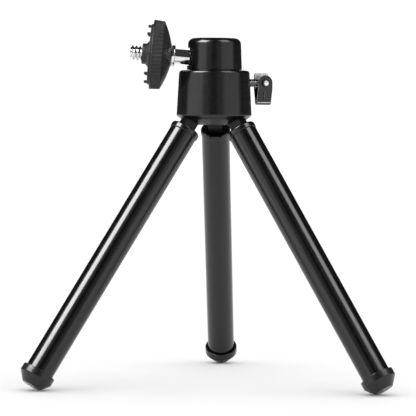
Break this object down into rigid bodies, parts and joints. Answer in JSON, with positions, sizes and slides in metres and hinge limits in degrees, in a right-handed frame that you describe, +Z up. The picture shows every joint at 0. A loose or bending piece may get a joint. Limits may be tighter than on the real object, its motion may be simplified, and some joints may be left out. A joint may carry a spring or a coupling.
{
  "type": "tabletop tripod",
  "caption": "Small tabletop tripod with hinged tube legs, a turning ball head, a side camera screw with a lock disc, and a folded clamp key.",
  "frame": {"origin": "centre of the box around the part, on the ground under the feet", "axes": "+Z up; +Y from the two front feet towards the back leg; the camera screw points along -X, turned 3 degrees to the front"},
  "size_m": [0.1544, 0.1356, 0.1548],
  "materials": {
    "black_satin": "satin black moulding",
    "black_moulded": "semi-gloss black moulding",
    "black_gloss": "gloss black lacquer",
    "black_matte": "matte black moulding with fine ribs",
    "black_rubber": "soft matte rubber",
    "foot_rubber": "firm black rubber, slight sheen",
    "inner_plastic": "natural nylon",
    "polished_steel": "bright nickel plate",
    "zinc_steel": "plain zinc-plated steel",
    "dark_steel": "dark plated sheet steel",
    "brass_bush": "turned brass"
  },
  "bodies": {
    "base": {"housing": "black_satin", "leg_hub": "black_moulded", "hub_screw": "zinc_steel", "hinge_pins": "zinc_steel", "clamp_insert": "brass_bush", "ball_seat": "inner_plastic"},
    "head": {"head_cap": "black_satin", "swivel_ring": "zinc_steel"},
    "ball": {"swivel_ball": "polished_steel"},
    "stud": {"camera_stud": "polished_steel"},
    "disc": {"lock_disc": "black_matte", "disc_hub": "black_matte", "disc_pad": "black_rubber"},
    "clamp": {"clamp_screw": "zinc_steel", "key_rivet": "polished_steel"},
    "key": {"clamp_key": "dark_steel"},
    "leg_1": {"leg_plug_1": "black_moulded", "leg_tube_1": "black_gloss", "foot_1": "foot_rubber"},
    "leg_2": {"leg_plug_2": "black_moulded", "leg_tube_2": "black_gloss", "foot_2": "foot_rubber"},
    "leg_3": {"leg_plug_3": "black_moulded", "leg_tube_3": "black_gloss", "foot_3": "foot_rubber"}
  },
  "joints": [
    {"name": "head_swivel", "type": "hinge", "parent": "base", "child": "head", "pos_m": [0, -0.02, 0.1379], "axis": [0, 0, 1], "range_deg": [-100, 100]},
    {"name": "ball_tilt", "type": "hinge", "parent": "head", "child": "ball", "pos_m": [0, -0.02, 0.1379], "axis": [-0.0523, 0.9986, 0], "range_deg": [0, 4.2]},
    {"name": "stud_roll", "type": "hinge", "parent": "ball", "child": "stud", "pos_m": [0, -0.02, 0.1379], "axis": [-0.9956, -0.0522, 0.0785], "continuous": true},
    {"name": "disc_turn", "type": "hinge", "parent": "stud", "child": "disc", "pos_m": [-0.02678, -0.0214, 0.14001], "axis": [-0.9956, -0.0522, 0.0785], "range_deg": [-180, 180]},
    {"name": "clamp_turn", "type": "hinge", "parent": "base", "child": "clamp", "pos_m": [0, -0.02, 0.1282], "axis": [0.866, 0.5, 0], "range_deg": [-180, 180]},
    {"name": "key_flip", "type": "hinge", "parent": "clamp", "child": "key", "pos_m": [0.02053, -0.00815, 0.1282], "axis": [0.5, -0.866, 0], "range_deg": [0, 180]},
    {"name": "leg_fold_1", "type": "hinge", "parent": "base", "child": "leg_1", "pos_m": [0, -0.011, 0.11499], "axis": [-1, 0, 0], "range_deg": [0, 33.6]},
    {"name": "leg_fold_2", "type": "hinge", "parent": "base", "child": "leg_2", "pos_m": [-0.00779, -0.0245, 0.11499], "axis": [0.5, -0.866, 0], "range_deg": [0, 33.6]},
    {"name": "leg_fold_3", "type": "hinge", "parent": "base", "child": "leg_3", "pos_m": [0.00779, -0.0245, 0.11499], "axis": [0.5, 0.866, 0], "range_deg": [0, 33.6]}
  ]
}
